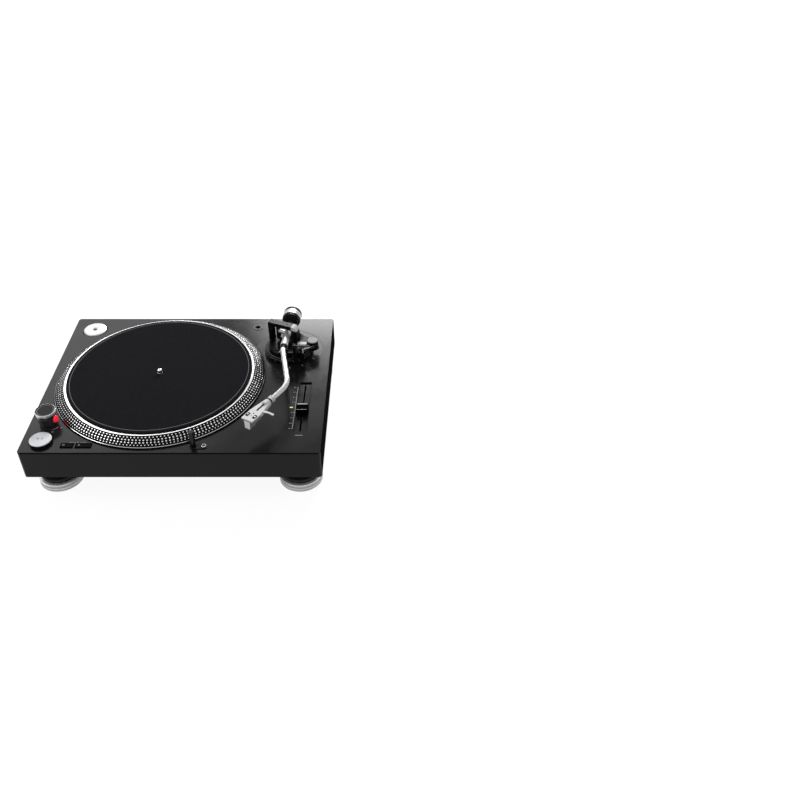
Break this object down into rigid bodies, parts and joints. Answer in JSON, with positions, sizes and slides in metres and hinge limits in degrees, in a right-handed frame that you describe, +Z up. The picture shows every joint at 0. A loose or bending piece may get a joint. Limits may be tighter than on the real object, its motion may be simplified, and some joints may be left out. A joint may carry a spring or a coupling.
{
  "type": "dj turntable",
  "caption": "Direct drive disc turntable with an S shaped pickup arm, pitch fader, strobe tower and slipmat on a low plinth with adjustable feet.",
  "frame": {"origin": "on the floor, under the middle of the plinth", "axes": "+X to the right along the plinth's long side, +Y to the back, +Z up"},
  "size_m": [0.45, 0.35, 0.144],
  "materials": {
    "plinth": "satin",
    "bottom_cover": "matte",
    "case_screws": "satin",
    "motor_plate": "satin",
    "stator_core": "satin",
    "stator_coils": "gloss",
    "main_board": "satin",
    "transformer": "satin",
    "control_board": "satin",
    "pitch_fader_box": "matte",
    "strobe_tower": "satin",
    "strobe_lens": "gloss",
    "target_lamp_base": "satin",
    "headshell_store": "satin",
    "arm_base_plate": "satin",
    "jack_panel": "matte",
    "output_sockets": "polished",
    "power_inlet": "matte",
    "hinge_sockets": "matte",
    "indicator_lights": "gloss",
    "platter": "satin",
    "rotor_magnet": "matte",
    "spindle": "polished",
    "slipmat": "matte",
    "start_stop_button": "brushed",
    "speed_button_33": "satin",
    "speed_button_45": "satin",
    "power_dial": "satin",
    "target_lamp": "satin",
    "target_lamp_button": "satin",
    "pitch_fader_cap": "satin",
    "large_hole_adaptor": "satin",
    "foot_housing_front_left": "gloss",
    "foot_ring_front_left": "satin",
    "foot_pad_front_left": "matte",
    "foot_housing_front_right": "gloss",
    "foot_ring_front_right": "satin",
    "foot_pad_front_right": "matte",
    "foot_housing_rear_left": "gloss",
    "foot_ring_rear_left": "satin",
    "foot_pad_rear_left": "matte",
    "foot_housing_rear_right": "gloss",
    "foot_ring_rear_right": "satin",
    "foot_pad_rear_right": "matte",
    "height_ring": "satin",
    "arm_housing": "satin",
    "arm_rest_clip": "satin",
    "antiskate_knob": "satin",
    "cue_lever": "satin",
    "lift_platform": "matte",
    "gimbal_yoke": "satin",
    "arm_sleeve": "satin",
    "arm_tube": "polished",
    "collar_nut": "satin",
    "headshell": "satin",
    "cartridge": "gloss",
    "force_dial": "satin",
    "counterweight": "satin",
    "line_switch": "matte",
    "ground_nut": "satin"
  },
  "bodies": {
    "case": {"plinth": "plinth", "bottom_cover": "bottom_cover", "case_screws": "case_screws", "motor_plate": "motor_plate", "stator_core": "stator_core", "stator_coils": "stator_coils", "main_board": "main_board", "transformer": "transformer", "control_board": "control_board", "pitch_fader_box": "pitch_fader_box", "strobe_tower": "strobe_tower", "strobe_lens": "strobe_lens", "target_lamp_base": "target_lamp_base", "headshell_store": "headshell_store", "arm_base_plate": "arm_base_plate", "jack_panel": "jack_panel", "output_sockets": "output_sockets", "power_inlet": "power_inlet", "hinge_sockets": "hinge_sockets", "indicator_lights": "indicator_lights"},
    "platter": {"platter": "platter", "rotor_magnet": "rotor_magnet", "spindle": "spindle"},
    "slipmat": {"slipmat": "slipmat"},
    "start_stop_button": {"start_stop_button": "start_stop_button"},
    "speed_button_33": {"speed_button_33": "speed_button_33"},
    "speed_button_45": {"speed_button_45": "speed_button_45"},
    "power_dial": {"power_dial": "power_dial"},
    "target_lamp": {"target_lamp": "target_lamp"},
    "target_lamp_button": {"target_lamp_button": "target_lamp_button"},
    "pitch_fader_cap": {"pitch_fader_cap": "pitch_fader_cap"},
    "large_hole_adaptor": {"large_hole_adaptor": "large_hole_adaptor"},
    "foot_front_left": {"foot_housing_front_left": "foot_housing_front_left", "foot_ring_front_left": "foot_ring_front_left", "foot_pad_front_left": "foot_pad_front_left"},
    "foot_front_right": {"foot_housing_front_right": "foot_housing_front_right", "foot_ring_front_right": "foot_ring_front_right", "foot_pad_front_right": "foot_pad_front_right"},
    "foot_rear_left": {"foot_housing_rear_left": "foot_housing_rear_left", "foot_ring_rear_left": "foot_ring_rear_left", "foot_pad_rear_left": "foot_pad_rear_left"},
    "foot_rear_right": {"foot_housing_rear_right": "foot_housing_rear_right", "foot_ring_rear_right": "foot_ring_rear_right", "foot_pad_rear_right": "foot_pad_rear_right"},
    "height_ring": {"height_ring": "height_ring"},
    "arm_housing": {"arm_housing": "arm_housing"},
    "arm_rest_clip": {"arm_rest_clip": "arm_rest_clip"},
    "antiskate_knob": {"antiskate_knob": "antiskate_knob"},
    "cue_lever": {"cue_lever": "cue_lever"},
    "lift_platform": {"lift_platform": "lift_platform"},
    "gimbal_yoke": {"gimbal_yoke": "gimbal_yoke"},
    "arm": {"arm_sleeve": "arm_sleeve", "arm_tube": "arm_tube"},
    "collar_nut": {"collar_nut": "collar_nut"},
    "headshell": {"headshell": "headshell", "cartridge": "cartridge"},
    "force_dial": {"force_dial": "force_dial"},
    "counterweight": {"counterweight": "counterweight"},
    "line_switch": {"line_switch": "line_switch"},
    "ground_nut": {"ground_nut": "ground_nut"}
  },
  "joints": [
    {"name": "platter_spin", "type": "hinge", "parent": "case", "child": "platter", "pos_m": [-0.044, -0.001, 0.091], "axis": [0, 0, -1], "continuous": true},
    {"name": "slipmat_slip", "type": "hinge", "parent": "platter", "child": "slipmat", "pos_m": [-0.044, -0.001, 0.1055], "axis": [0, 0, -1], "continuous": true},
    {"name": "start_stop_press", "type": "slide", "parent": "case", "child": "start_stop_button", "axis": [0, 0, -1], "range_m": [0, 0.0015], "stiffness_N_per_m": 300, "springref_m": -0.002},
    {"name": "speed_33_press", "type": "slide", "parent": "case", "child": "speed_button_33", "axis": [0, 0, -1], "range_m": [0, 0.0015], "stiffness_N_per_m": 300, "springref_m": -0.002},
    {"name": "speed_45_press", "type": "slide", "parent": "case", "child": "speed_button_45", "axis": [0, 0, -1], "range_m": [0, 0.0015], "stiffness_N_per_m": 300, "springref_m": -0.002},
    {"name": "power_dial_turn", "type": "hinge", "parent": "case", "child": "power_dial", "pos_m": [-0.1971, -0.105, 0.1076], "axis": [0, 0, 1], "range_deg": [0, 60]},
    {"name": "target_lamp_rise", "type": "slide", "parent": "case", "child": "target_lamp", "axis": [0, 0, -1], "range_m": [0, 0.026], "stiffness_N_per_m": 30, "springref_m": -0.01},
    {"name": "target_lamp_press", "type": "slide", "parent": "case", "child": "target_lamp_button", "axis": [0, 0, -1], "range_m": [0, 0.0018], "stiffness_N_per_m": 200, "springref_m": -0.002},
    {"name": "pitch_slide", "type": "slide", "parent": "case", "child": "pitch_fader_cap", "axis": [0, 1, 0], "range_m": [-0.0425, 0.06]},
    {"name": "adaptor_lift", "type": "slide", "parent": "case", "child": "large_hole_adaptor", "axis": [0, 0, 1], "range_m": [0, 0.03]},
    {"name": "foot_height_front_left", "type": "slide", "parent": "case", "child": "foot_front_left", "axis": [0, 0, -1], "range_m": [0, 0.008]},
    {"name": "foot_height_front_right", "type": "slide", "parent": "case", "child": "foot_front_right", "axis": [0, 0, -1], "range_m": [0, 0.008]},
    {"name": "foot_height_rear_left", "type": "slide", "parent": "case", "child": "foot_rear_left", "axis": [0, 0, -1], "range_m": [0, 0.008]},
    {"name": "foot_height_rear_right", "type": "slide", "parent": "case", "child": "foot_rear_right", "axis": [0, 0, -1], "range_m": [0, 0.008]},
    {"name": "arm_height_turn", "type": "hinge", "parent": "case", "child": "height_ring", "pos_m": [0.1555, 0.081, 0.096], "axis": [0, 0, 1], "range_deg": [0, 165]},
    {"name": "arm_height_rise", "type": "slide", "parent": "case", "child": "arm_housing", "axis": [0, 0, 1], "range_m": [0, 0.006]},
    {"name": "arm_swing", "type": "hinge", "parent": "arm_housing", "child": "gimbal_yoke", "pos_m": [0.1555, 0.081, 0.121], "axis": [0, 0, -1], "range_deg": [0, 46]},
    {"name": "arm_tilt", "type": "hinge", "parent": "gimbal_yoke", "child": "arm", "pos_m": [0.1555, 0.081, 0.1255], "axis": [-0.8616, 0.5075, 0], "range_deg": [-1.3, 8]},
    {"name": "collar_turn", "type": "hinge", "parent": "arm", "child": "collar_nut", "pos_m": [0.14681, -0.09839, 0.12939], "axis": [-0.5075, -0.8616, 0.0087], "range_deg": [0, 90]},
    {"name": "headshell_pull", "type": "slide", "parent": "arm", "child": "headshell", "axis": [-0.5075, -0.8616, 0.0087], "range_m": [0, 0.012]},
    {"name": "counterweight_turn", "type": "hinge", "parent": "force_dial", "child": "counterweight", "pos_m": [0.15858, 0.12722, 0.12764], "axis": [0.0663, 0.9978, -0.0078], "range_deg": [0, 360]},
    {"name": "counterweight_travel", "type": "slide", "parent": "arm", "child": "force_dial", "axis": [0.0663, 0.9978, -0.0078], "range_m": [0, 0.003]},
    {"name": "antiskate_turn", "type": "hinge", "parent": "arm_housing", "child": "antiskate_knob", "pos_m": [0.1964, 0.0755, 0.109], "axis": [0, 0, 1], "range_deg": [0, 270]},
    {"name": "cue_lift", "type": "hinge", "parent": "arm_housing", "child": "cue_lever", "pos_m": [0.17626, 0.05153, 0.1109], "axis": [0.4695, -0.8829, 0], "range_deg": [0, 60]},
    {"name": "lift_fall", "type": "slide", "parent": "arm_housing", "child": "lift_platform", "axis": [0, 0, -1], "range_m": [0, 0.005]},
    {"name": "rest_clip_close", "type": "hinge", "parent": "arm_housing", "child": "arm_rest_clip", "pos_m": [0.17104, 0.03316, 0.1342], "axis": [0, -1, 0], "range_deg": [0, 178]},
    {"name": "line_switch_slide", "type": "slide", "parent": "case", "child": "line_switch", "axis": [1, 0, 0], "range_m": [0, 0.004]},
    {"name": "ground_nut_turn", "type": "hinge", "parent": "case", "child": "ground_nut", "pos_m": [-0.06, 0.165, 0.0636], "axis": [0, 1, 0], "range_deg": [0, 720]}
  ],
  "couplings": [
    {"joint": "arm_height_rise", "follows": "arm_height_turn", "m_per_rad": 0.0020835},
    {"joint": "counterweight_travel", "follows": "counterweight_turn", "m_per_rad": 0.000477},
    {"joint": "lift_fall", "follows": "cue_lift", "m_per_rad": 0.0047746}
  ]
}
